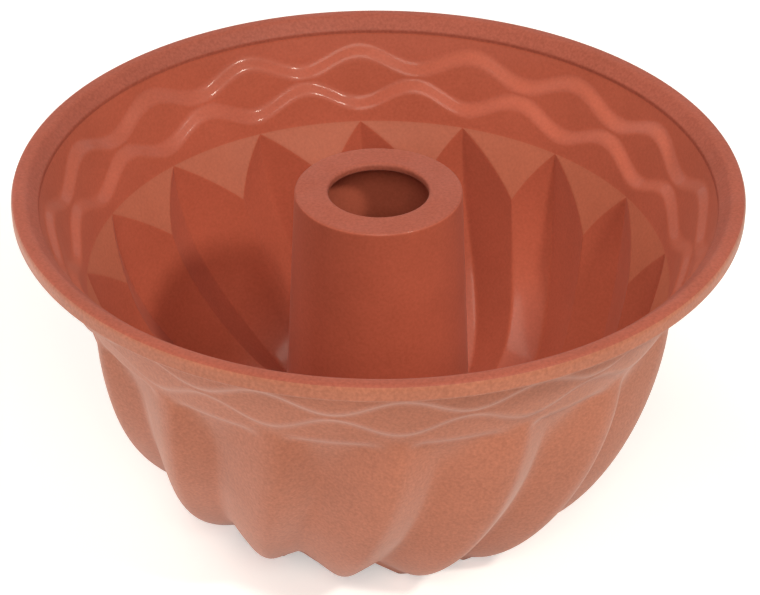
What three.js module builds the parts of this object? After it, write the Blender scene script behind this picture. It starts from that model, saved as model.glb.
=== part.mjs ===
import * as THREE from 'three';

// Rim: sizes in millimetres, origin on the table under the centre, Z up
const rimOuterRadius = 110;
const rimTopHeight = 112;
const rimEdgeHeight = 5;
const rimWidth = 8;
const rimFlatWidth = 3.4;
const rimCornerSize = 0.8;
const lipDrop = 2.6;
const lipCornerSize = 1.1;

// Thickness of the rubber
const wallThickness = 2.5;
const floorThickness = 2.2;

// Band under the rim: three steep panels parted by two wavy steps
const bandFlare = 12.5;
const bandFootHeight = 80;
const upperStepHeight = 98.8;
const lowerStepHeight = 88.5;
const stepWaveHeight = 3;
const stepRise = 2.9;
const stepDepth = 3.1;
const outerStepDrop = 0.9;

// Flutes: swirled lobes that start as points on the foot of the band
const fluteCount = 16;
const fluteDepth = 6.4;
const fluteLift = 5;
const fluteSwirl = 16.5;
const shoulderSlope = 0.46;
const narrowShareTop = 0.375;
const narrowShareBottom = 0.45;
const crestBroadness = 1.25;

// Round bottom of the bowl, cut flat where the lobes stand on the table
const bottomRadius = 43.5;
const bottomDraft = 3;
const footCut = 0.9;
const wallEndAngle = 60;

// Chimney through the middle
const chimneyTopRadius = 25.5;
const chimneyTopHeight = 106.5;
const chimneyFootRadius = 30;
const chimneyFootHeight = 14.5;
const chimneyHoleRadius = 15.3;
const chimneyLidThickness = 2.5;
const chimneyCornerSize = 0.8;

// Facets round the moulding and down its faces
const narrowFacets = 3;
const wideFacets = 5;
const wallLevels = 4;
const shoulderLevels = 2;
const troughLevels = 2;
const innerBottomLevels = 3;

// How closely the shoulder angle is found, and corners are matched when faces are joined
const angleTolerance = 1e-9;
const matchTolerance = 1e-4;

const facetsPerFlute = narrowFacets + wideFacets;
const columnCount = fluteCount * facetsPerFlute;
const flutePitch = 360 / fluteCount;
const lipInnerRadius = rimOuterRadius - rimWidth;
const bandFootRadius = lipInnerRadius - bandFlare;
const bandTopHeight = rimTopHeight - rimEdgeHeight;
const tubeTopHeight = chimneyTopHeight - chimneyLidThickness;
const panelDraft = (bandFlare - 2 * stepDepth) / (bandTopHeight - bandFootHeight - 2 * stepRise);

const radians = (angle) => angle * Math.PI / 180;
const blend = (from, to, share) => from + (to - from) * share;

// Share of the way from a lobe's crest (0) to its notch (1): a sharp V or a rounded wave
function notchShare(column, rounded) {
  const step = column % facetsPerFlute;
  const share = step <= narrowFacets
    ? step / narrowFacets
    : (facetsPerFlute - step) / wideFacets;
  return rounded ? Math.sin(Math.PI / 2 * share) ** (2 * crestBroadness) : share;
}

// Direction of a column in degrees; descent runs from 0 at the band to 1 at the bottom
function columnAngle(column, descent) {
  const flute = Math.floor(column / facetsPerFlute);
  const step = column % facetsPerFlute;
  const narrow = flutePitch * blend(narrowShareTop, narrowShareBottom, descent);
  const offset = step <= narrowFacets
    ? narrow * step / narrowFacets
    : narrow + (flutePitch - narrow) * (step - narrowFacets) / wideFacets;
  return flute * flutePitch + offset - fluteSwirl * descent;
}

function place(radius, height, column, descent) {
  const angle = radians(columnAngle(column, descent));
  return [radius * Math.cos(angle), radius * Math.sin(angle), height];
}

function makeRow(pointAt) {
  return Array.from({ length: columnCount }, (unused, column) => pointAt(column));
}

function plainRow([radius, height], descent) {
  return makeRow((column) => place(radius, height, column, descent));
}

// Closed ring from a loop of rows. The last strip turns its diagonals round, so that
// two rings that meet there share the same triangles
function ringBody(rows) {
  const positions = [];
  const numbers = new Map();
  const index = [];
  const numberOf = (point) => {
    const key = point.map((value) => Math.round(value / matchTolerance)).join(' ');
    if (!numbers.has(key)) {
      numbers.set(key, numbers.size);
      positions.push(...point);
    }
    return numbers.get(key);
  };
  const addFace = (a, b, c) => {
    if (a !== b && b !== c && c !== a) {
      index.push(a, b, c);
    }
  };
  rows.forEach((row, rowNumber) => {
    const next = rows[(rowNumber + 1) % rows.length];
    const closing = rowNumber === rows.length - 1;
    for (let column = 0; column < columnCount; column += 1) {
      const after = (column + 1) % columnCount;
      const a = numberOf(row[column]);
      const b = numberOf(row[after]);
      const c = numberOf(next[column]);
      const d = numberOf(next[after]);
      addFace(a, b, closing ? c : d);
      addFace(closing ? b : a, d, c);
    }
  });
  const geometry = new THREE.BufferGeometry();
  geometry.setAttribute('position', new THREE.Float32BufferAttribute(positions, 3));
  geometry.setIndex(index);
  geometry.computeVertexNormals();
  return geometry;
}

// Height of a wavy step at a column; the two steps wave against each other
function waveHeight(middle, direction, column) {
  const turn = 2 * Math.PI * (column % facetsPerFlute) / facetsPerFlute;
  return middle + direction * stepWaveHeight * Math.cos(turn);
}

// Rows of one face of the band, from the rim down to its foot
function bandRows(offset, drop) {
  const rowAt = (heightAt, stepsBelow, shift) => makeRow((column) => {
    const height = heightAt(column);
    const panels = height - bandFootHeight - stepsBelow * stepRise;
    const radius = bandFootRadius + offset + stepsBelow * stepDepth + panelDraft * panels;
    return place(radius, height - shift, column, 0);
  });
  const upper = (side) => (column) => waveHeight(upperStepHeight, 1, column) + side * stepRise / 2;
  const lower = (side) => (column) => waveHeight(lowerStepHeight, -1, column) + side * stepRise / 2;
  return [
    rowAt(() => bandTopHeight, 2, 0),
    rowAt(upper(1), 2, drop),
    rowAt(upper(-1), 1, drop),
    rowAt(lower(1), 1, drop),
    rowAt(lower(-1), 0, drop),
    rowAt(() => bandFootHeight, 0, 0),
  ];
}

// One face of the bowl: the sharp cake side or the rounded outside
function bowlFace(offset, floorHeight, rounded) {
  const topRadius = bandFootRadius + offset;
  const reach = topRadius - bottomRadius - bottomDraft;
  const drop = bandFootHeight - floorHeight;
  const rise = chimneyFootHeight - floorHeight;
  const innerReach = bottomRadius - chimneyFootRadius + offset;

  const pointOf = (angle, share) => {
    const turn = radians(angle);
    const radius = bottomRadius + bottomDraft * (1 - Math.sin(turn))
      + (reach - share * fluteDepth) * Math.cos(turn);
    const height = bandFootHeight - (drop - share * fluteLift) * Math.sin(turn);
    return [radius, height];
  };

  // Angle at which a flute comes out of the sloping shoulder
  const shoulderAngle = (share) => {
    let low = 0;
    let high = wallEndAngle;
    while (high - low > angleTolerance) {
      const middle = (low + high) / 2;
      const [radius, height] = pointOf(middle, share);
      if (radius < topRadius - shoulderSlope * (bandFootHeight - height)) {
        low = middle;
      } else {
        high = middle;
      }
    }
    return low;
  };

  const rowAt = (angleOf) => makeRow((column) => {
    const share = notchShare(column, rounded);
    const angle = angleOf(share);
    const [radius, height] = pointOf(angle, share);
    return place(radius, Math.max(height, 0), column, Math.sin(radians(angle)) ** 2);
  });

  // Row between the lowest ring (0 degrees) and the foot of the chimney (90 degrees)
  const chimneySideRow = (angle) => makeRow((column) => {
    const turn = radians(angle);
    const lift = notchShare(column, rounded) * fluteLift * Math.cos(turn) ** 2;
    const height = floorHeight + rise * (1 - Math.cos(turn)) + lift;
    return place(bottomRadius - innerReach * Math.sin(turn), Math.max(height, 0), column, 1);
  });

  const wallRow = (level) => rowAt(
    (share) => blend(shoulderAngle(share), wallEndAngle, level / wallLevels),
  );
  const wallRows = Array.from({ length: wallLevels + 1 }, (unused, level) => wallRow(level));

  // Angles where the foot cut meets the crests, zero when nothing is cut
  const cut = Math.max(-floorHeight, 0);
  const cutStart = Math.asin(Math.min(bandFootHeight / drop, 1)) * 180 / Math.PI;
  const cutEnd = Math.acos(1 - cut / rise) * 180 / Math.PI;
  const troughRows = [wallRows.at(-1)];
  for (let level = 1; level <= troughLevels; level += 1) {
    const angle = blend(wallEndAngle, cutStart, level / troughLevels);
    troughRows.push(rowAt(() => angle));
  }
  if (cut > 0) {
    troughRows.push(rowAt(() => 90), chimneySideRow(cutEnd));
  }
  for (let level = 1; level <= innerBottomLevels; level += 1) {
    troughRows.push(chimneySideRow(blend(cutEnd, 90, level / innerBottomLevels)));
  }
  return { wallRows, troughRows };
}

// Satin rubber on the cake side, matte rubber on the rim and the chimney's lid
const satinColour = 0xb5543a;
const satinRoughness = 0.45;
const matteColour = 0xb4654f;
const matteRoughness = 0.62;

const group = new THREE.Group();
group.name = 'kugelhopf_mould';

function addPiece(name, rows, color, roughness) {
  const material = new THREE.MeshStandardMaterial({ color, roughness, metalness: 0 });
  const mesh = new THREE.Mesh(ringBody(rows), material);
  mesh.name = name;
  group.add(mesh);
}

// Ring between a cake-side face and an outer face, both listed downwards
function addWall(name, innerRows, outerRows) {
  addPiece(name, [...innerRows, ...outerRows.slice().reverse()], satinColour, satinRoughness);
}

const innerBand = bandRows(0, 0);
const outerBand = bandRows(wallThickness, outerStepDrop);
const cakeFace = bowlFace(0, floorThickness, false);
const outerFace = bowlFace(wallThickness, -footCut, true);

// Rim flange with a flat top, a lip sloping to the bowl and a square edge
const lipHeight = rimTopHeight - lipDrop;
const rimProfile = [
  [rimOuterRadius, bandTopHeight],
  [rimOuterRadius, rimTopHeight - rimCornerSize],
  [rimOuterRadius - rimCornerSize, rimTopHeight],
  [rimOuterRadius - rimCornerSize - rimFlatWidth, rimTopHeight],
  [lipInnerRadius + lipCornerSize, lipHeight],
  [lipInnerRadius, lipHeight - lipCornerSize],
];
const rimRows = rimProfile.map((point) => plainRow(point, 0));
addPiece('rim', [...rimRows, innerBand[0], outerBand[0]], matteColour, matteRoughness);

addWall('wave_band', innerBand, outerBand);
addWall(
  'shoulder',
  [innerBand.at(-1), ...cakeFace.wallRows.slice(0, shoulderLevels + 1)],
  [outerBand.at(-1), ...outerFace.wallRows.slice(0, shoulderLevels + 1)],
);
addWall('fluted_wall', cakeFace.wallRows.slice(shoulderLevels), outerFace.wallRows.slice(shoulderLevels));
addWall('trough', cakeFace.troughRows, outerFace.troughRows);

// Chimney tube, hollow underneath
const tubeTopOuter = plainRow([chimneyTopRadius, tubeTopHeight], 1);
const tubeTopInner = plainRow([chimneyTopRadius - wallThickness, tubeTopHeight], 1);
addWall(
  'chimney',
  [cakeFace.troughRows.at(-1), tubeTopOuter],
  [outerFace.troughRows.at(-1), tubeTopInner],
);

// Flat lid of the chimney with the round hole
const lidProfile = [
  [chimneyTopRadius, chimneyTopHeight - chimneyCornerSize],
  [chimneyTopRadius - chimneyCornerSize, chimneyTopHeight],
  [chimneyHoleRadius, chimneyTopHeight],
  [chimneyHoleRadius, tubeTopHeight],
];
const lidRows = lidProfile.map((point) => plainRow(point, 1));
addPiece('chimney_top', [...lidRows, tubeTopInner, tubeTopOuter], matteColour, matteRoughness);

export default group;
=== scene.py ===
# %% [markdown]
# # A silicone kugelhopf mould
# The object is a ring-cake mould, moulded in one shot from soft terracotta silicone rubber. It has a flat
# rim, a steep band with two wavy steps, sixteen swirled flutes and a hollow chimney in the middle.
#
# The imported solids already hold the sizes, so the lesson starts by loading them as a fixed frame. They
# could be shown with a new material, but their facets are coarse. Instead one fine skin is grown over them
# from the same formulas, because the real thing has no seam anywhere.

# %% Load the frame
import math

import bmesh
import bpy
import numpy as np
from mathutils import Matrix, Vector


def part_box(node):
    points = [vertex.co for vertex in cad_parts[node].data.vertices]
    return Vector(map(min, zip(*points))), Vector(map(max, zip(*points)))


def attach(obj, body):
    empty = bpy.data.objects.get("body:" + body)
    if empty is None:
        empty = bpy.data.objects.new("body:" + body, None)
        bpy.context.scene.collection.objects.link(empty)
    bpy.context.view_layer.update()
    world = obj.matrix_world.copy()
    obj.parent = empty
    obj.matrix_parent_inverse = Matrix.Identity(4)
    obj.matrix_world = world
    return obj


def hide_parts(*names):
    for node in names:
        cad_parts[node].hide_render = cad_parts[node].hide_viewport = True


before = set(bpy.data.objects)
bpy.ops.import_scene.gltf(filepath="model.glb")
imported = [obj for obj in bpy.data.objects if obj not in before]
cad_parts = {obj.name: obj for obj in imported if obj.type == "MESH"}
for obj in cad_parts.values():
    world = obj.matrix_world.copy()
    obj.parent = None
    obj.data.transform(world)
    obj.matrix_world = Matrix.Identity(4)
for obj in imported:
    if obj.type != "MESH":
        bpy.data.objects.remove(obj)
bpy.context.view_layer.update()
print("solids:", sorted(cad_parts))

# %% [markdown]
# ## Sizes that the solids give
# Heights come from the boxes of the solids, and radii from the corners that lie nearest to the axis or
# furthest from it. A box alone could give radii that are a hair too small, because a faceted ring need not
# have a corner right on the X axis.

# %% Measure the solids


def radii(node):
    """Smallest and largest distance of a solid's corners from the chimney's axis."""
    distances = [math.hypot(v.co.x, v.co.y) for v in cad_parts[node].data.vertices]
    return min(distances), max(distances)


def heights(node):
    """Lowest and highest level of a solid."""
    low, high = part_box(node)
    return low[2], high[2]


rim_underside, rim_top = heights("rim")
lip_radius, rim_radius = radii("rim")
foot_height = heights("wave_band")[0]
foot_radius = radii("wave_band")[0]
tube_foot, tube_top = heights("chimney")
tube_foot_radius = radii("chimney")[1]
lid_top = heights("chimney_top")[1]
hole_radius, lid_radius = radii("chimney_top")
print(f"rim {2000 * rim_radius:.1f} mm across and {1000 * rim_top:.1f} mm high")
print(f"radius of the band's foot {1000 * foot_radius:.1f} mm, of the hole {1000 * hole_radius:.1f} mm")
print(f"radius of the chimney {1000 * tube_foot_radius:.1f} mm below and {1000 * lid_radius:.1f} mm above")

# %% [markdown]
# ## Sizes of the moulding itself
# The rest are the maker's own choices: how thick the rubber is, how the two steps wave, how deep the flutes
# cut and how far they swirl on the way down. They are the values that shaped the solids, in metres, with one
# addition. Near the lowest ring the real flutes cut deeper than those of the solids, which shows as sharp
# teeth in the lower outline, so ring_lift raises the notches a little more there.

# %% Set the moulding's own sizes
wall = 0.0025
floor_thickness = 0.0022
foot_cut = 0.0009
rim_flat = 0.0042

upper_step = 0.0988
lower_step = 0.0885
step_wave = 0.003
step_rise = 0.0029
step_depth = 0.0031
outer_step_drop = 0.0009
panel_draft = (lip_radius - foot_radius - 2 * step_depth) / (rim_underside - foot_height - 2 * step_rise)

flute_count = 16
flute_depth = 0.0064
flute_lift = 0.005
ring_lift = 0.0045
ring_lift_power = 24
flute_swirl = math.radians(16.5)
flute_pitch = 2 * math.pi / flute_count
shoulder_slope = 0.46
narrow_share_top = 0.375
narrow_share_bottom = 0.45
bottom_radius = 0.0435
bottom_draft = 0.003
print(f"{flute_count} flutes, each {math.degrees(flute_pitch):.1f} degrees, panels lean {panel_draft:.3f}")

# %% [markdown]
# ## One flute as a fan of columns
# Seen from above, a lobe runs from its crest down a narrow flank to a notch, and back up a wide flank to the
# next crest. A column is one place on that way. The columns crowd together near crest and notch, where the
# surface turns, so that few of them are wasted on the flat flanks.

# %% Lay out the columns of a flute
narrow_columns = 13
wide_columns = 17
crowding = 0.8


def crowded(step):
    """Even steps from 0 to 1, drawn together at both ends."""
    return step - crowding * math.sin(2 * math.pi * step) / (2 * math.pi)


narrow_flank = [("narrow", crowded(i / narrow_columns)) for i in range(narrow_columns)]
wide_flank = [("wide", crowded(1 - i / wide_columns)) for i in range(wide_columns)]
flute_columns = narrow_flank + wide_flank


def turn_in_flute(flank, share, descent):
    """Share of the flute's pitch, counted from the crest; the notch wanders a little on the way down."""
    narrow = narrow_share_top + (narrow_share_bottom - narrow_share_top) * descent
    return narrow * share if flank == "narrow" else 1 - (1 - narrow) * share


print(f"{len(flute_columns)} columns a flute, {flute_count * len(flute_columns)} in all")

# %% [markdown]
# ## Sharp inside, soft outside
# The metal tool that shapes the cake side has crisp V-shaped flutes, with only a small radius in each crest
# and notch. The outside follows one wall thickness away, so its lobes and valleys are rounder. Two small
# functions turn the same column into either form. Both are straight ramps whose two ends are eased by a
# parabola, which is cheaper to control than a bevel on the finished mesh.

# %% Shape the flutes
crisp_crease = 0.05
soft_crest = 0.24
soft_notch = 0.16


def crisp_share(share, easing):
    """0 at the crest and 1 at the notch, with both corners eased a little inwards."""
    width = crisp_crease * easing
    if share < width:
        return share * share / (2 * width) + width / 2
    if share > 1 - width:
        return 1 - (1 - share) ** 2 / (2 * width) - width / 2
    return share


def soft_share(share):
    """0 at the crest and 1 at the notch, both broadly rounded."""
    whole = 1 - soft_crest / 2 - soft_notch / 2
    if share < soft_crest:
        return share ** 2 / (2 * soft_crest) / whole
    if share > 1 - soft_notch:
        return 1 - (1 - share) ** 2 / (2 * soft_notch) / whole
    return (share - soft_crest / 2) / whole


print("crest and notch inside:", round(crisp_share(0, 1), 3), round(crisp_share(1, 1), 3))

# %% [markdown]
# ## The bowl's two faces
# Each face of the bowl is a quarter of an ellipse, pulled in and lifted where a notch runs. Just under the
# band a plain sloping shoulder cuts across the flutes, which leaves the triangular facets between the lobes'
# points. The height where a flute leaves the shoulder has no closed formula, so it is found by halving.

# %% Describe the bowl
shoulder_search = math.radians(60)
shoulder_halvings = 40


class BowlFace:
    """One face of the bowl: the cake side, or the outside at one wall thickness further out."""

    def __init__(self, offset, floor_height):
        self.top_radius = foot_radius + offset
        self.reach = self.top_radius - bottom_radius - bottom_draft
        self.drop = foot_height - floor_height
        self.floor_height = floor_height
        self.tube_rise = tube_foot - floor_height
        self.tube_reach = bottom_radius - tube_foot_radius + offset

    def wall_point(self, angle, share):
        """Point (radius, height, descent) from the band's foot (angle 0) to the lowest ring (pi / 2)."""
        radius = bottom_radius + bottom_draft * (1 - math.sin(angle))
        radius += (self.reach - share * flute_depth) * math.cos(angle)
        lift = flute_lift + ring_lift * math.sin(angle) ** ring_lift_power
        height = foot_height - (self.drop - share * lift) * math.sin(angle)
        return np.array((radius, height, math.sin(angle) ** 2))

    def tube_point(self, angle, share):
        """Point on the way from the lowest ring (0) up to the chimney's foot (pi / 2)."""
        radius = bottom_radius - self.tube_reach * math.sin(angle)
        height = self.floor_height + self.tube_rise * (1 - math.cos(angle))
        height += share * (flute_lift + ring_lift) * math.cos(angle) ** 2
        return np.array((radius, height, 1.0))

    def shoulder_angle(self, share):
        """Angle at which a flute comes out of the sloping shoulder."""
        low, high = 0.0, shoulder_search
        for _ in range(shoulder_halvings):
            middle = (low + high) / 2
            radius, height, _descent = self.wall_point(middle, share)
            if radius < self.top_radius - shoulder_slope * (foot_height - height):
                low = middle
            else:
                high = middle
        return low


cake_side = BowlFace(0, floor_thickness)
outside = BowlFace(wall, -foot_cut)
print(f"facets reach {math.degrees(cake_side.shoulder_angle(1)):.1f} degrees down the wall at the notches")

# %% [markdown]
# ## A column's way round the moulding
# Cut the mould along a column and the cut shows one closed loop: over the rim, down the cake side, up and
# over the chimney, back along the underside and up the outside. Each loop is a list of stops. A stop is a
# point, the size its corner is rounded to, and the finish of the surface that follows it. The band comes
# first: two wavy steps, whose waves run in opposite phase.

# %% Collect the stops of the band


def band_stops(flank, share, offset, drop, rounding, finish):
    """The four corners of the two wavy steps, from the rim downwards."""
    wave = step_wave * math.cos(2 * math.pi * turn_in_flute(flank, share, 0))
    stops = []
    for middle, steps_below in ((upper_step + wave, 1), (lower_step - wave, 0)):
        top, bottom = middle + step_rise / 2, middle - step_rise / 2
        for height, steps in ((top, steps_below + 1), (bottom, steps_below)):
            panels = height - foot_height - steps * step_rise
            radius = foot_radius + offset + steps * step_depth + panel_draft * panels
            stops.append(((radius, height - drop, 0.0), rounding, finish))
    return stops


print("corners of the steps on one column:", len(band_stops("narrow", 0.5, 0, 0, 0, "satin")))

# %% [markdown]
# The two walls follow. Inside, the shoulder ends in a clear edge where the flutes begin. Outside, the rubber
# flows over that edge: a small ledge under the band, then one soft surface. A boolean of shoulder and flutes
# would give a hard line there, so the larger of the two radii is taken with a soft transition instead.

# %% Collect the stops of the bowl
wall_rows = 30
tube_side_rows = 10
tube_rows = 5
easing_run = math.radians(14)
ledge_depth = 0.0016
ledge_drop = 0.0030
ledge_round = 0.0014
shoulder_blend = 0.0016
shoulder_blend_run = 0.012


def cake_wall_stops(share, rounding, finish):
    """From the shoulder's edge to the lowest ring; the creases are sharpest at the top."""
    start = cake_side.shoulder_angle(share)
    stops = [(cake_side.wall_point(start, share), rounding, finish)]
    for row in range(1, wall_rows + 1):
        angle = start + (math.pi / 2 - start) * row / wall_rows
        easing = min(1.0, (angle - start) / easing_run)
        stops.append((cake_side.wall_point(angle, crisp_share(share, easing)), 0, finish))
    return stops


def outer_wall_stops(share, finish):
    """From just under the band's ledge to the lowest ring, as one soft surface."""
    notch = soft_share(share)

    def point_at(angle):
        radius, height, descent = outside.wall_point(angle, notch)
        below = foot_height - height
        shoulder = outside.top_radius - ledge_depth - shoulder_slope * below
        blend = shoulder_blend * min(1.0, below / shoulder_blend_run)
        radius = (radius + shoulder + math.hypot(radius - shoulder, blend)) / 2
        return np.array((radius, height, descent))

    start = math.asin(ledge_drop / (outside.drop - notch * flute_lift))
    angles = [start + (math.pi / 2 - start) * row / wall_rows for row in range(wall_rows + 1)]
    stops = [(point_at(angle), 0, finish) for angle in angles]
    stops[0] = (stops[0][0], ledge_round, finish)
    return stops


def tube_side_stops(face, share, finish):
    """From the lowest ring up to the chimney's foot, without the ring itself."""
    angles = [math.pi / 2 * row / tube_side_rows for row in range(1, tube_side_rows + 1)]
    return [(face.tube_point(angle, share), 0, finish) for angle in angles]


def straight_stops(start, end, finish):
    """Plain points between two stops, without the two ends."""
    shares = [row / tube_rows for row in range(1, tube_rows)]
    start, end = np.array(start), np.array(end)
    return [(start + (end - start) * share, 0, finish) for share in shares]


print("stops on the two walls:", len(cake_wall_stops(0.5, 0, "satin")), len(outer_wall_stops(0.5, "chalky_painted_haze")))

# %% [markdown]
# The stops are strung together in one order for every column, so that equal places on all columns make one
# row round the mould. The cake side and the inside of the chimney are satin, as they would leave a polished
# core; only the facets of the shoulder get a rougher gloss, and a paler shade that is a painted highlight.
# The tops of the rim and of the chimney are matte, as they would leave a blasted shell; their darker shade
# is painted shade. The outside, with the rim's outer edge, is rougher; its paler shade is painted haze, the
# white table's light on it.

# %% String the stops together
rim_under_round = 0.0008
rim_edge_round = 0.0018
rim_slope_round = 0.0012
lip_round = 0.0014
lip_foot_round = 0.0008
inner_step_round = 0.0012
outer_step_round = 0.0017
inner_foot_round = 0.0012
outer_foot_round = 0.0017
shoulder_round = 0.0010
under_rim_round = 0.0012
lid_edge_round = 0.0009
hole_round = 0.0012
hole_under_round = 0.0007
tube_top_round = 0.0012


def column_stops(flank, share):
    """All stops of one loop, from the rim's outer edge over the cake side and back along the outside."""
    lip_height = rim_top - (rim_radius - rim_flat - lip_radius)
    lid_edge = (lid_radius, lid_top, 1.0)
    tube_inside = (lid_radius - wall, tube_top, 1.0)
    rim = [
        ((rim_radius, rim_underside, 0.0), rim_under_round, "chalky_painted_haze"),
        ((rim_radius, rim_top, 0.0), rim_edge_round, "matte_painted_shade"),
        ((rim_radius - rim_flat, rim_top, 0.0), rim_slope_round, "matte_painted_shade"),
        ((lip_radius, lip_height, 0.0), lip_round, "matte_painted_shade"),
        ((lip_radius, rim_underside, 0.0), lip_foot_round, "satin"),
    ]
    down_inside = band_stops(flank, share, 0, 0, inner_step_round, "satin")
    down_inside.append(((foot_radius, foot_height, 0.0), inner_foot_round, "frosted_painted_highlight"))
    down_inside += cake_wall_stops(share, shoulder_round, "satin")
    up_tube = tube_side_stops(cake_side, crisp_share(share, 1), "satin")
    up_tube += straight_stops(up_tube[-1][0], lid_edge, "satin")
    lid = [
        (lid_edge, lid_edge_round, "matte_painted_shade"),
        ((hole_radius, lid_top, 1.0), hole_round, "matte_painted_shade"),
        ((hole_radius, tube_top, 1.0), hole_under_round, "satin"),
        (tube_inside, tube_top_round, "satin"),
    ]
    underneath = tube_side_stops(outside, soft_share(share), "chalky_painted_haze")
    down_outside = [((lip_radius + wall, rim_underside, 0.0), under_rim_round, "chalky_painted_haze")]
    down_outside += band_stops(flank, share, wall, outer_step_drop, outer_step_round, "chalky_painted_haze")
    down_outside.append(((foot_radius + wall, foot_height, 0.0), outer_foot_round, "chalky_painted_haze"))
    down_outside += outer_wall_stops(share, "chalky_painted_haze")
    down_tube = straight_stops(tube_inside, underneath[-1][0], "satin")
    return rim + down_inside + up_tube + lid + down_tube + underneath[::-1] + down_outside[::-1]


print("stops on one loop:", len(column_stops("narrow", 0.5)))

# %% [markdown]
# ## Rounding the corners
# Rubber never comes out of a tool with a knife edge. Every corner becomes a short curve, with one extra row
# on each side that keeps the neighbouring flat flat. A bevel modifier could do this too, but its width would
# clash where the steps wave close to the foot. Here each curve is cut back where its neighbours are near.

# %% Round one corner
curve_steps = 6
curve_limit = 0.45
support_reach = 1.6
support_limit = 0.49
shortest_leg = 1e-9


def corner_rows(before, corner, after, size):
    """A support row, a curve in place of the corner, and another support row."""
    before, corner, after = (np.array(point, dtype=float) for point in (before, corner, after))
    legs = (before - corner, after - corner)
    lengths = [max(float(np.hypot(leg[0], leg[1])), shortest_leg) for leg in legs]
    cut = min(size, curve_limit * lengths[0], curve_limit * lengths[1])
    start, end = (corner + leg * (cut / length) for leg, length in zip(legs, lengths))
    reaches = [min(support_reach * cut, support_limit * length) for length in lengths]
    supports = [corner + leg * (reach / length) for leg, reach, length in zip(legs, reaches, lengths)]
    steps = [step / curve_steps for step in range(curve_steps + 1)]
    curve = [(1 - t) ** 2 * start + 2 * t * (1 - t) * corner + t * t * end for t in steps]
    return [supports[0], *curve, supports[1]]


def loop_rows(stops):
    """All points of one loop, and the finish after each; it changes in the middle of a rounded corner."""
    points, finishes = [], []
    for number, (point, size, finish) in enumerate(stops):
        before, _size, finish_before = stops[number - 1]
        after = stops[(number + 1) % len(stops)][0]
        rows = corner_rows(before, point, after, size) if size else [np.array(point, dtype=float)]
        points += rows
        half = len(rows) // 2
        finishes += [finish_before] * half + [finish] * (len(rows) - half)
    return np.array(points), finishes


print("rows round one loop:", len(loop_rows(column_stops("narrow", 0.5))[0]))

# %% [markdown]
# ## Standing flat on the table
# The lobes' undersides are cut off by the table's plane. A hard cut would leave a sharp edge round each
# foot, so the height is bent over smoothly within a few tenths of a millimetre.

# %% Spin the columns into a skin
foot_softness = 0.0003


def skin_points(points, flank, share, flute):
    """Turn the points of one loop to their place round the mould, and flatten the foot."""
    turns = np.array([turn_in_flute(flank, share, descent) for descent in points[:, 2]])
    angles = flute_pitch * (flute + turns) - flute_swirl * points[:, 2]
    height = (points[:, 1] + np.sqrt(points[:, 1] ** 2 + foot_softness ** 2)) / 2
    return np.stack([points[:, 0] * np.cos(angles), points[:, 0] * np.sin(angles), height], axis=1)


loops = [loop_rows(column_stops(flank, share)) for flank, share in flute_columns]
row_finishes = loops[0][1]
skin = []
for flute in range(flute_count):
    for (flank, share), (points, _finishes) in zip(flute_columns, loops):
        skin.append(skin_points(points, flank, share, flute))
skin = np.array(skin)
print(f"skin of {skin.shape[0]} columns by {skin.shape[1]} rows")

# %% [markdown]
# The grid closes on itself both ways, round the mould and round the loop, so the mesh has no open edge. At
# the lobes' points some rows fall together; merging them turns those slivers into clean triangles.

# %% Build the mesh
merge_distance = 2e-6
finish_names = ["satin", "frosted_painted_highlight", "matte_painted_shade", "chalky_painted_haze"]


def build_skin(name):
    """Join all columns into one closed mesh, with a finish for every face."""
    column_count, row_count, _ = skin.shape
    work = bmesh.new()
    grid = [[work.verts.new(point) for point in column] for column in skin]
    for c in range(column_count):
        here, beside = grid[c], grid[(c + 1) % column_count]
        for r in range(row_count):
            below = (r + 1) % row_count
            face = work.faces.new((here[r], here[below], beside[below], beside[r]))
            face.material_index = finish_names.index(row_finishes[r])
            face.smooth = True
    bmesh.ops.remove_doubles(work, verts=work.verts, dist=merge_distance)
    bmesh.ops.recalc_face_normals(work, faces=work.faces)
    if work.calc_volume(signed=True) < 0:
        bmesh.ops.reverse_faces(work, faces=work.faces)
    open_edges = sum(len(edge.link_faces) != 2 for edge in work.edges)
    volume = 1e6 * work.calc_volume()
    print(f"{name}: {len(work.faces)} faces, {open_edges} open edges, {volume:.1f} cm3 of rubber")
    mesh = bpy.data.meshes.new(name)
    work.to_mesh(mesh)
    work.free()
    piece = bpy.data.objects.new(name, mesh)
    bpy.context.collection.objects.link(piece)
    return piece


mould = build_skin("mould_skin")
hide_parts("rim", "wave_band", "shoulder", "fluted_wall", "trough", "chimney", "chimney_top")
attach(mould, "root")

# %% [markdown]
# ## Silicone rubber
# Pigmented silicone is an even, slightly cloudy colour with a soft gloss. Four things keep it from looking
# like paint: faint clouds and fine specks in the pigment, a gloss that changes a little from place to place,
# and the grain of the tool. Image textures could give them, but would need an unwrapped mesh. Here all four
# are noise in the object's own coordinates, so they stay put on the rubber. Three helpers add the nodes.

# %% Prepare noise, ranges and bumps
noise_low = 0.3
noise_high = 0.7


def add_noise(nodes, links, place, per_metre, detail):
    """Noise with so many blotches to the metre, and finer ones within them."""
    noise = nodes.new("ShaderNodeTexNoise")
    noise.inputs["Scale"].default_value = per_metre
    noise.inputs["Detail"].default_value = detail
    links.new(place, noise.inputs["Vector"])
    return noise.outputs["Fac"]


def add_range(nodes, links, value, low, high):
    """The noise stretched to run from low to high."""
    ranger = nodes.new("ShaderNodeMapRange")
    ranger.inputs["From Min"].default_value = noise_low
    ranger.inputs["From Max"].default_value = noise_high
    ranger.inputs["To Min"].default_value = low
    ranger.inputs["To Max"].default_value = high
    links.new(value, ranger.inputs["Value"])
    return ranger.outputs["Result"]


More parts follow.
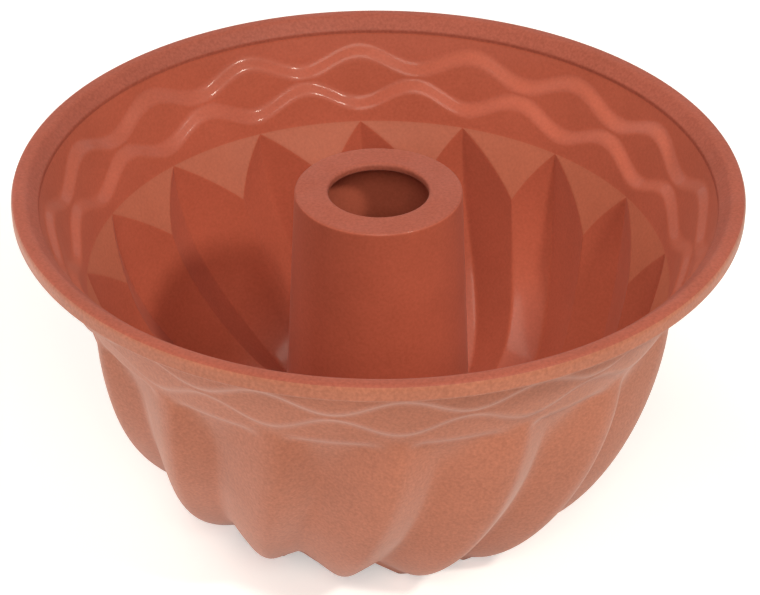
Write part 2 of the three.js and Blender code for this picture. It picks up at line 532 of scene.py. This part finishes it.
def add_bump(nodes, links, height, distance, strength, under=None):
    """A bump whose height is in metres, on top of another one if there is one."""
    bump = nodes.new("ShaderNodeBump")
    bump.inputs["Distance"].default_value = distance
    bump.inputs["Strength"].default_value = strength
    links.new(height, bump.inputs["Height"])
    if under is not None:
        links.new(under, bump.inputs["Normal"])
    return bump.outputs["Normal"]


print(f"noise is read from {noise_low} to {noise_high}, where most of it lies")

# %% [markdown]
# The recipe is written once. Clouds are a few centimetres wide and specks about a millimetre, and together
# they choose a shade between a deep and a pale one. Smudges change the gloss, broad swells bend the surface
# very slightly, and the fine grain breaks up the reflections.

# %% Mix the rubber
clouds_per_metre = 38
specks_per_metre = 1100
smudges_per_metre = 90
swells_per_metre = 55
grains_per_metre = 1500
cloud_detail = 5
speck_detail = 3
smudge_detail = 3
swell_detail = 2
grain_detail = 2
swell_height = 0.0006
swell_strength = 0.12
grain_strength = 0.5
silicone_ior = 1.41


def silicone(name, deep, pale, speck, gloss, grain, shine):
    """Rubber between two shades, with the specks' share, a range of roughness and a grain in metres."""
    material = bpy.data.materials.new(name)
    material.use_nodes = True
    nodes, links = material.node_tree.nodes, material.node_tree.links
    shader = nodes["Principled BSDF"]
    place = nodes.new("ShaderNodeTexCoord").outputs["Object"]
    clouds = add_noise(nodes, links, place, clouds_per_metre, cloud_detail)
    specks = add_noise(nodes, links, place, specks_per_metre, speck_detail)
    mottle = nodes.new("ShaderNodeMath")
    mottle.operation = "ADD"
    links.new(add_range(nodes, links, clouds, 0, 1 - speck), mottle.inputs[0])
    links.new(add_range(nodes, links, specks, 0, speck), mottle.inputs[1])
    shade = nodes.new("ShaderNodeMix")
    shade.data_type = "RGBA"
    shade.inputs["A"].default_value = (*deep, 1)
    shade.inputs["B"].default_value = (*pale, 1)
    links.new(mottle.outputs["Value"], shade.inputs["Factor"])
    links.new(shade.outputs["Result"], shader.inputs["Base Color"])
    smudges = add_noise(nodes, links, place, smudges_per_metre, smudge_detail)
    links.new(add_range(nodes, links, smudges, *gloss), shader.inputs["Roughness"])
    swells = add_noise(nodes, links, place, swells_per_metre, swell_detail)
    bent = add_bump(nodes, links, swells, swell_height, swell_strength)
    grains = add_noise(nodes, links, place, grains_per_metre, grain_detail)
    links.new(add_bump(nodes, links, grains, grain, grain_strength, bent), shader.inputs["Normal"])
    shader.inputs["IOR"].default_value = silicone_ior
    shader.inputs["Specular IOR Level"].default_value = shine
    return material


print(f"specks of about {1000 / specks_per_metre:.1f} mm, grain of about {1000 / grains_per_metre:.1f} mm")

# %% [markdown]
# Four finishes share the recipe. The satin of the cake side has a thin clear coat, which gives the crisp
# glints on the steps. The facets look duller than the panels above them, so they have a wide gloss without a
# coat; their paler shade is a painted highlight of the light from the right. The matte rim and the outside
# have more specks and a coarser grain; the rim's darker shade is painted shade, and the outside's paler
# shade is painted haze of the white table's light. Sheen makes the outside paler towards its outlines, as a
# dusty surface is.

# %% Set the four finishes
fine_grain = 0.00003
coarse_grain = 0.00009


def set_sockets(material, values):
    """Set values that are the same all over the rubber."""
    shader = material.node_tree.nodes["Principled BSDF"]
    for socket, value in values.items():
        shader.inputs[socket].default_value = value


satin_shades = ((0.415, 0.095, 0.052), (0.541, 0.131, 0.076))
# Painted highlight: this paler pair stands in for the light from the right that the facets catch.
frosted_painted_highlight_shades = ((0.405, 0.105, 0.054), (0.527, 0.146, 0.079))
# Painted shade: this darker pair makes the tops of the rim and the chimney darker than the rest of the
# rubber.
matte_painted_shade_pair = ((0.304, 0.073, 0.043), (0.442, 0.112, 0.072))
# Painted haze: this paler pair stands in for the white table's light on the outside.
chalky_painted_haze_shades = ((0.333, 0.108, 0.060), (0.493, 0.169, 0.098))
satin = silicone(
    "satin_silicone", *satin_shades, speck=0.5, gloss=(0.40, 0.48), grain=fine_grain, shine=0.2
)
frosted_painted_highlight = silicone(
    "frosted_painted_highlight_silicone", *frosted_painted_highlight_shades, speck=0.5, gloss=(0.66, 0.76), grain=fine_grain, shine=1.0
)
matte_painted_shade = silicone(
    "matte_painted_shade_silicone", *matte_painted_shade_pair, speck=0.7, gloss=(0.52, 0.64), grain=coarse_grain, shine=0.4
)
chalky_painted_haze = silicone(
    "chalky_painted_haze_silicone", *chalky_painted_haze_shades, speck=0.7, gloss=(0.60, 0.72), grain=coarse_grain, shine=0.3
)
set_sockets(satin, {"Coat Weight": 0.27, "Coat Roughness": 0.12, "Coat IOR": 1.4})
set_sockets(satin, {"Sheen Weight": 0.05, "Sheen Roughness": 0.6})
set_sockets(chalky_painted_haze, {"Sheen Weight": 0.25, "Sheen Roughness": 0.5})
for finish in (satin, frosted_painted_highlight, matte_painted_shade, chalky_painted_haze):
    mould.data.materials.append(finish)
print("finishes:", [finish.name for finish in mould.data.materials])

# %% [markdown]
# ## Table
# The mould stands on a plain white table, which also throws light up under the bowl. More light would make
# the table whiter, but the rubber too bright. Instead the table gets a faint glow that only the camera and
# mirroring surfaces see, so it looks white and keeps the object's shadow. Away from the object, where the
# lamps hardly reach, the glow is stronger.

# %% Mix the table's paint
table_white = 0.92
table_roughness = 0.9
near_glow = 0.4
far_glow = 0.8
near_distance = 0.6
far_distance = 1.6


def seen_rays(nodes, links):
    """1 for rays from the camera, from a reflection or through something clear, and 0 for all others."""
    path = nodes.new("ShaderNodeLightPath")
    seen = path.outputs["Is Camera Ray"]
    for ray in ("Is Glossy Ray", "Is Transmission Ray"):
        either = nodes.new("ShaderNodeMath")
        either.operation = "MAXIMUM"
        links.new(seen, either.inputs[0])
        links.new(path.outputs[ray], either.inputs[1])
        seen = either.outputs["Value"]
    return seen


def glow_strength(nodes, links):
    """The table's glow, which grows with the distance from the object."""
    distance = nodes.new("ShaderNodeVectorMath")
    distance.operation = "LENGTH"
    links.new(nodes.new("ShaderNodeTexCoord").outputs["Object"], distance.inputs[0])
    growth = nodes.new("ShaderNodeMapRange")
    growth.inputs["From Min"].default_value = near_distance
    growth.inputs["From Max"].default_value = far_distance
    growth.inputs["To Min"].default_value = near_glow
    growth.inputs["To Max"].default_value = far_glow
    links.new(distance.outputs["Value"], growth.inputs["Value"])
    strength = nodes.new("ShaderNodeMath")
    strength.operation = "MULTIPLY"
    links.new(growth.outputs["Result"], strength.inputs[0])
    links.new(seen_rays(nodes, links), strength.inputs[1])
    return strength.outputs["Value"]


def table_paint():
    """White paint with the glow added to it."""
    paint = bpy.data.materials.new("white_table")
    paint.use_nodes = True
    nodes, links = paint.node_tree.nodes, paint.node_tree.links
    shader = nodes["Principled BSDF"]
    shader.inputs["Base Color"].default_value = (table_white, table_white, table_white, 1)
    shader.inputs["Roughness"].default_value = table_roughness
    glow = nodes.new("ShaderNodeEmission")
    links.new(glow_strength(nodes, links), glow.inputs["Strength"])
    both = nodes.new("ShaderNodeAddShader")
    links.new(shader.outputs["BSDF"], both.inputs[0])
    links.new(glow.outputs["Emission"], both.inputs[1])
    links.new(both.outputs["Shader"], nodes["Material Output"].inputs["Surface"])
    return paint


print(f"glow of {near_glow} near the object and {far_glow} far away")

# %% [markdown]
# The table itself is one flat square, far wider than the picture shows. A backdrop could be curved up behind
# it, but the pale room already closes the view.

# %% Lay the table
table_size = 12.0
table_squares = 8


def build_table():
    """A flat square of paint, level with the mould's feet."""
    work = bmesh.new()
    bmesh.ops.create_grid(work, x_segments=table_squares, y_segments=table_squares, size=table_size / 2)
    mesh = bpy.data.meshes.new("table")
    work.to_mesh(mesh)
    work.free()
    mesh.materials.append(table_paint())
    table = bpy.data.objects.new("table", mesh)
    bpy.context.collection.objects.link(table)
    return table


build_table()
print(f"table {table_size:.1f} m wide")

# %% [markdown]
# ## Light
# A small soft box to the right and above is the main light: it draws the glints on the steps, and the
# chimney drops its shadow into the bowl. A wide box above the camera and one behind at the left open the
# shadows. Two cards, low at the left and the right, light the outside under the rim. All five are area
# lamps, so one helper sets them up.

# %% Prepare a soft box
warm_white = (1, 0.94, 0.82)
cool_white = (0.98, 1, 1.05)


def add_lamp(name, turn, elevation, distance, size, level, colour, mirrored=True):
    """Soft box (width, height) aimed at the bowl; level 1 alone shows a facing colour as it is written."""
    turn, elevation = math.radians(turn), math.radians(elevation)
    data = bpy.data.lights.new(name, "AREA")
    data.shape = "RECTANGLE"
    data.size, data.size_y = size
    data.energy = level * (math.pi * distance) ** 2
    data.color = colour
    lamp = bpy.data.objects.new(name, data)
    lamp.visible_glossy = mirrored
    bpy.context.collection.objects.link(lamp)
    aim = Vector((0, 0, rim_top / 2))
    level_away = Vector((math.cos(turn), math.sin(turn), 0))
    away = math.cos(elevation) * level_away + Vector((0, 0, math.sin(elevation)))
    lamp.location = aim + distance * away
    lamp.rotation_euler = away.to_track_quat("Z", "Y").to_euler()
    return lamp


print(f"a box of level 1 at 1 m takes {math.pi ** 2:.1f} W")

# %% [markdown]
# A pale room fills in the rest. It looks white, but gives only a fifth of the light that white walls would,
# so that the boxes still draw the form. The box behind is left out of reflections, because it would draw
# pale bands along the steps.

# %% Set the light
room_light = 0.20
room_white = 1.0


def light_room():
    """A room with one strength for the rays that are seen and another for its light."""
    world = bpy.data.worlds.new("pale_room")
    world.use_nodes = True
    bpy.context.scene.world = world
    nodes, links = world.node_tree.nodes, world.node_tree.links
    background = nodes["Background"]
    background.inputs["Color"].default_value = (1, 1, 1, 1)
    strength = nodes.new("ShaderNodeMapRange")
    strength.inputs["To Min"].default_value = room_light
    strength.inputs["To Max"].default_value = room_white
    links.new(seen_rays(nodes, links), strength.inputs["Value"])
    links.new(strength.outputs["Result"], background.inputs["Strength"])


light_room()
# Each lamp: turn and elevation in degrees, distance and size in metres, level and colour.
lamps = [
    add_lamp("key_box", -44, 47.7, 1.2, (0.12, 0.12), 0.42, warm_white),
    add_lamp("camera_box", -94, 42, 1.5, (0.7, 0.7), 0.41, warm_white),
    add_lamp("back_box", 150, 48, 1.5, (0.9, 0.9), 0.42, warm_white, mirrored=False),
    add_lamp("left_card", -172, 0, 0.7, (0.9, 0.09), 0.30, cool_white),
    add_lamp("right_card", -30, 0, 0.7, (0.9, 0.09), 0.06, warm_white),
]
print("lamps in W:", {lamp.name: round(lamp.data.energy, 1) for lamp in lamps})

# %% [markdown]
# ## Camera
# The view looks down into the bowl at about thirty degrees, from six and a half rim radii away, with one
# lobe's point four degrees off the middle. The picture is turned by a quarter of a degree, as a camera held
# by hand would be. The lens follows from the focal length in pixels and the width of the picture.

# %% Set the camera
picture_width = 760
focal_pixels = 2369.3
sensor_width = 36.0
view_distance = 0.715
view_turn = math.radians(-4)
view_elevation = math.radians(30.646)
view_roll = math.radians(0.237)
aim_beside = 0.00058
aim_below_rim = 0.0447


def add_camera():
    """A camera that looks a little below the rim's centre, slightly rolled."""
    data = bpy.data.cameras.new("camera")
    data.sensor_fit = "HORIZONTAL"
    data.sensor_width = sensor_width
    data.lens = focal_pixels * sensor_width / picture_width
    camera = bpy.data.objects.new("camera", data)
    bpy.context.collection.objects.link(camera)
    spin = Matrix.Rotation(view_turn, 3, "Z")
    rim_centre = Vector((0, 0, rim_top))
    away = spin @ Vector((0, -math.cos(view_elevation), math.sin(view_elevation)))
    aim = rim_centre + spin @ Vector((aim_beside, 0, -aim_below_rim))
    camera.location = rim_centre + view_distance * away
    ahead = (aim - camera.location).normalized()
    right = ahead.cross(Vector((0, 0, 1))).normalized()
    up = right.cross(ahead)
    rolled_right = math.cos(view_roll) * right + math.sin(view_roll) * up
    rolled_up = math.cos(view_roll) * up - math.sin(view_roll) * right
    turned = Matrix((rolled_right, rolled_up, -ahead)).transposed()
    camera.rotation_euler = turned.to_euler()
    bpy.context.scene.camera = camera
    return camera


camera = add_camera()
bpy.context.scene.view_settings.view_transform = "Standard"
print(f"lens {camera.data.lens:.1f} mm at {[round(value, 3) for value in camera.location]}")
